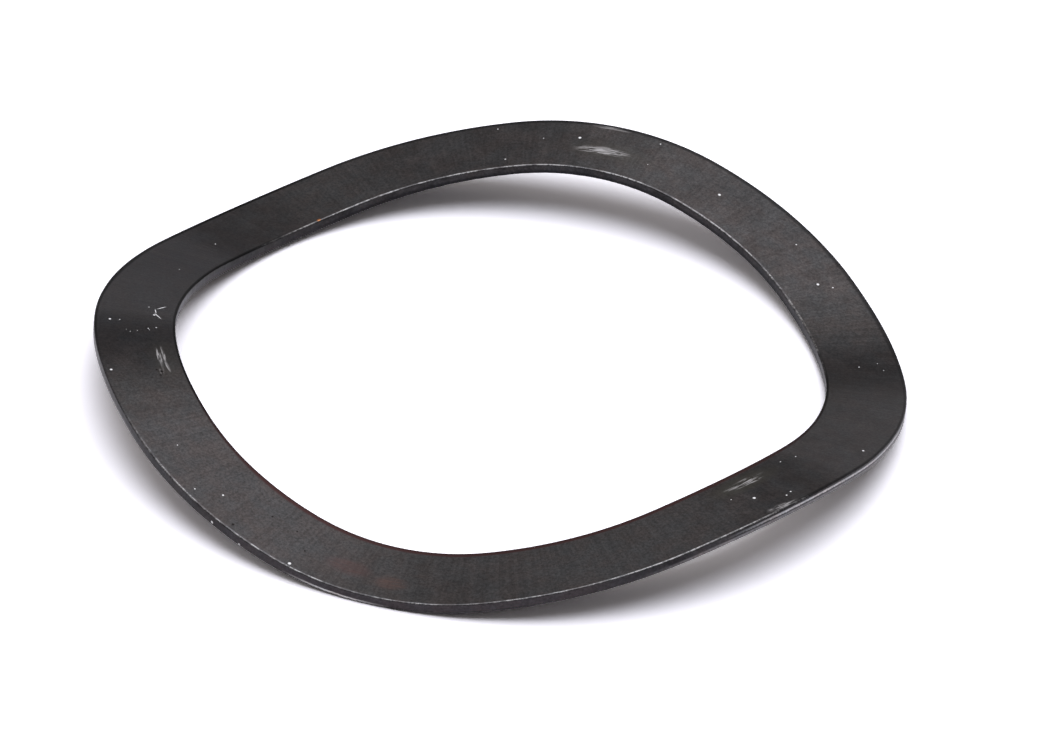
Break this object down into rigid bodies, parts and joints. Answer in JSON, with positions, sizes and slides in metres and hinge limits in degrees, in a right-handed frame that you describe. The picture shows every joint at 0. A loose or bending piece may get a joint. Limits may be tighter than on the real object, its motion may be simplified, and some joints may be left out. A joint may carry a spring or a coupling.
{
  "type": "wave spring washer",
  "caption": "Thin ring of blackened spring steel, bent into even waves that act as a low axial spring under a bearing or on a shaft.",
  "frame": {"origin": "on the washer's axis, level with the lowest points of its troughs, which is the surface it rests on", "axes": "+Z along the washer's axis, +Y through the middle of a crest, +X through the middle of a flank"},
  "size_m": [0.034, 0.034, 0.003],
  "materials": {
    "blackened_steel": "satin black oxide, worn bright along the sheared edges and scuffed on the crests"
  },
  "bodies": {
    "root": {"washer": "blackened_steel"}
  },
  "joints": []
}
